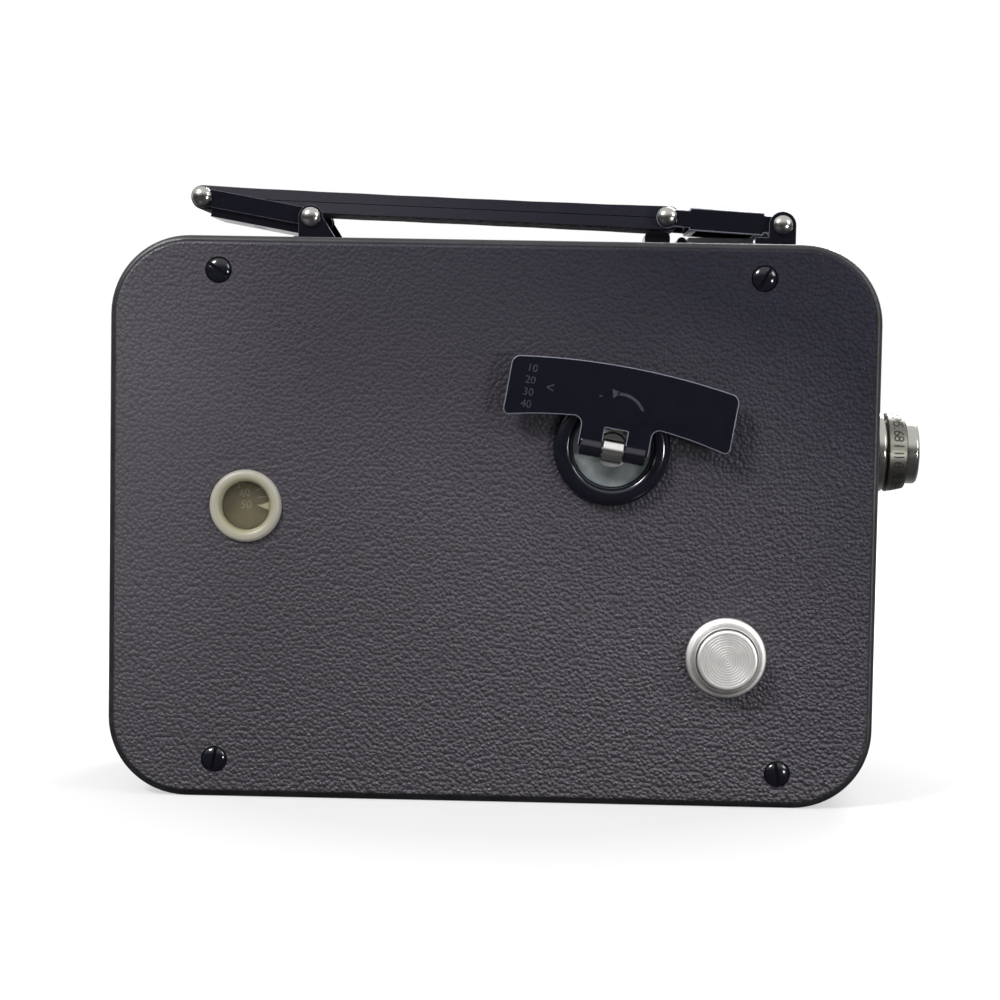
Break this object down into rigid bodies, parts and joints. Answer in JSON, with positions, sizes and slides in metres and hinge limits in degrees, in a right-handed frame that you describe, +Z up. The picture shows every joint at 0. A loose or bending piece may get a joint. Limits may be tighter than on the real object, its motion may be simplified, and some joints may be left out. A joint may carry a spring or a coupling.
{
  "type": "movie camera",
  "caption": "Spring-wound movie camera: rounded leather-covered case with folding key, footage window, release button, small lens, and a strap handle that links two folding sights.",
  "frame": {"origin": "centre of the tripod socket at the underside of the base plate", "axes": "+X towards the lens, +Y from the winding side to the film door, +Z up"},
  "size_m": [0.1824, 0.0665, 0.1328],
  "materials": {
    "case_black": "matt black enamel",
    "case_leather": "grained, charcoal to navy",
    "panel_leather": "grained, navy, worn brown at the lower right",
    "strap_leather": "smooth, dark, two layers",
    "black_enamel": "gloss black enamel",
    "nickel": "bright, slightly worn",
    "satin_nickel": "satin",
    "steel": "ground",
    "blued_steel": "blued",
    "brass": "lacquered",
    "aged_ring": "aged cream",
    "dial_face": "cream painted face",
    "movement_aluminium": "matt",
    "clear_glass": "clear",
    "lens_glass": "uncoated, dark behind"
  },
  "bodies": {
    "case": {"case_frame": "case_black", "case_leather": "case_leather", "base_plate": "case_black", "tripod_bush": "steel", "mechanism_cover": "case_black", "side_leather": "panel_leather", "cover_screws": "black_enamel", "key_cup": "black_enamel", "counter_bezel": "aged_ring", "counter_glass": "clear_glass", "release_collar": "nickel", "lens_board": "black_enamel", "small_screws": "steel", "lens_barrel": "nickel", "lens_front_ring": "nickel", "lens_front_element": "lens_glass", "lens_rear_element": "lens_glass", "gate_plate": "steel", "pressure_bracket": "movement_aluminium", "pulldown_claw": "steel", "movement_plate": "brass", "movement_pillars": "brass", "case_hinge": "black_enamel", "rear_sight_bracket": "black_enamel", "front_sight_bracket": "black_enamel"},
    "rear_sight": {"rear_sight_frame": "black_enamel", "rear_sight_pins": "nickel"},
    "front_sight": {"front_sight_frame": "black_enamel", "sight_glass": "clear_glass", "front_sight_pins": "nickel"},
    "handle": {"handle_strap": "strap_leather"},
    "winder": {"winding_spindle": "nickel", "ratchet_wheel": "steel", "key_hinge_pin": "steel"},
    "key": {"winding_key": "black_enamel"},
    "click": {"click_pawl": "steel"},
    "barrel": {"spring_barrel": "brass", "barrel_lid": "brass", "mainspring": "blued_steel"},
    "sprocket": {"sprocket_shaft": "steel", "film_sprocket": "movement_aluminium"},
    "intermediate": {"intermediate_shaft": "steel", "intermediate_wheel": "brass"},
    "shutter": {"shutter": "steel"},
    "governor": {"governor_shaft": "steel", "governor_weights": "brass"},
    "button": {"release_button": "nickel", "release_spring": "steel"},
    "pressure": {"pressure_plate": "steel", "pressure_spring": "steel"},
    "takeup": {"takeup_spindle": "steel", "takeup_spool": "case_black"},
    "supply": {"supply_spindle": "steel"},
    "feeler": {"feeler_arm": "steel"},
    "dial": {"counter_dial": "dial_face"},
    "iris": {"aperture_ring": "satin_nickel"},
    "door": {"film_door": "case_black", "door_leather": "panel_leather", "door_hinge": "black_enamel"},
    "lock": {"door_lock": "nickel"}
  },
  "joints": [
    {"name": "rear_sight_fold", "type": "hinge", "parent": "case", "child": "rear_sight", "pos_m": [-0.0412, 0, 0.126], "axis": [0, 1, 0], "range_deg": [0, 80]},
    {"name": "front_sight_fold", "type": "hinge", "parent": "case", "child": "front_sight", "pos_m": [0.062, 0, 0.1258], "axis": [0, 1, 0], "range_deg": [0, 86.1]},
    {"name": "handle_swing", "type": "hinge", "parent": "rear_sight", "child": "handle", "pos_m": [-0.06535, 0, 0.1302], "axis": [0, 1, 0], "range_deg": [-82.2, 0]},
    {"name": "winding", "type": "hinge", "parent": "case", "child": "winder", "pos_m": [0.0254, 0, 0.0772], "axis": [0, 1, 0], "continuous": true},
    {"name": "key_fold", "type": "hinge", "parent": "winder", "child": "key", "pos_m": [0.0254, -0.0323, 0.0765], "axis": [0.9863, 0, -0.165], "range_deg": [0, 90]},
    {"name": "click_lift", "type": "hinge", "parent": "case", "child": "click", "pos_m": [0.0379, -0.022, 0.0879], "axis": [0, 1, 0], "range_deg": [0, 12], "stiffness_Nm_per_rad": 0.01, "springref_deg": -8.59},
    {"name": "barrel_spin", "type": "hinge", "parent": "case", "child": "barrel", "pos_m": [0.0254, -0.012, 0.0772], "axis": [0, 1, 0], "continuous": true},
    {"name": "sprocket_spin", "type": "hinge", "parent": "case", "child": "sprocket", "pos_m": [0.05962, 0, 0.09942], "axis": [0, 1, 0], "continuous": true},
    {"name": "intermediate_spin", "type": "hinge", "parent": "case", "child": "intermediate", "pos_m": [0.06287, 0, 0.06106], "axis": [0, 1, 0], "continuous": true},
    {"name": "shutter_spin", "type": "hinge", "parent": "case", "child": "shutter", "pos_m": [0.0732, 0, 0.0758], "axis": [0, 1, 0], "continuous": true},
    {"name": "governor_spin", "type": "hinge", "parent": "case", "child": "governor", "pos_m": [0.066, 0, 0.04333], "axis": [0, 1, 0], "continuous": true},
    {"name": "button_press", "type": "slide", "parent": "case", "child": "button", "axis": [0, 1, 0], "range_m": [0, 0.003], "stiffness_N_per_m": 300, "springref_m": -0.002, "deforming": ["release_spring"]},
    {"name": "pressure_slide", "type": "slide", "parent": "case", "child": "pressure", "axis": [-1, 0, 0], "range_m": [0, 0.0015], "stiffness_N_per_m": 300, "springref_m": -0.002, "deforming": ["pressure_spring"]},
    {"name": "takeup_spin", "type": "hinge", "parent": "case", "child": "takeup", "pos_m": [0.02, 0.012, 0.0605], "axis": [0, 1, 0], "continuous": true},
    {"name": "supply_spin", "type": "hinge", "parent": "case", "child": "supply", "pos_m": [-0.046, 0.012, 0.0605], "axis": [0, 1, 0], "continuous": true},
    {"name": "feeler_swing", "type": "hinge", "parent": "case", "child": "feeler", "pos_m": [-0.068, 0, 0.03107], "axis": [0, -1, 0], "range_deg": [0, 30], "stiffness_Nm_per_rad": 0.004, "springref_deg": -11.46},
    {"name": "dial_turn", "type": "hinge", "parent": "case", "child": "dial", "pos_m": [-0.0619, -0.024, 0.0633], "axis": [0, -1, 0], "range_deg": [-82, 0]},
    {"name": "iris_turn", "type": "hinge", "parent": "case", "child": "iris", "pos_m": [0.091, 0.011, 0.0758], "axis": [1, 0, 0], "range_deg": [0, 70]},
    {"name": "door_swing", "type": "hinge", "parent": "case", "child": "door", "pos_m": [-0.0846, 0.025, 0.0605], "axis": [0, 0, 1], "range_deg": [0, 110]},
    {"name": "lock_turn", "type": "hinge", "parent": "door", "child": "lock", "pos_m": [0.0675, 0.028, 0.03], "axis": [0, -1, 0], "range_deg": [0, 90]}
  ],
  "couplings": [
    {"joint": "front_sight_fold", "follows": "rear_sight_fold", "ratio": 1.0755},
    {"joint": "handle_swing", "follows": "rear_sight_fold", "ratio": -1.027},
    {"joint": "sprocket_spin", "follows": "barrel_spin", "ratio": -4.6667},
    {"joint": "intermediate_spin", "follows": "barrel_spin", "ratio": -4.6667},
    {"joint": "shutter_spin", "follows": "barrel_spin", "ratio": 18.667},
    {"joint": "governor_spin", "follows": "barrel_spin", "ratio": 18.667},
    {"joint": "dial_turn", "follows": "feeler_swing", "ratio": -2.7273}
  ]
}
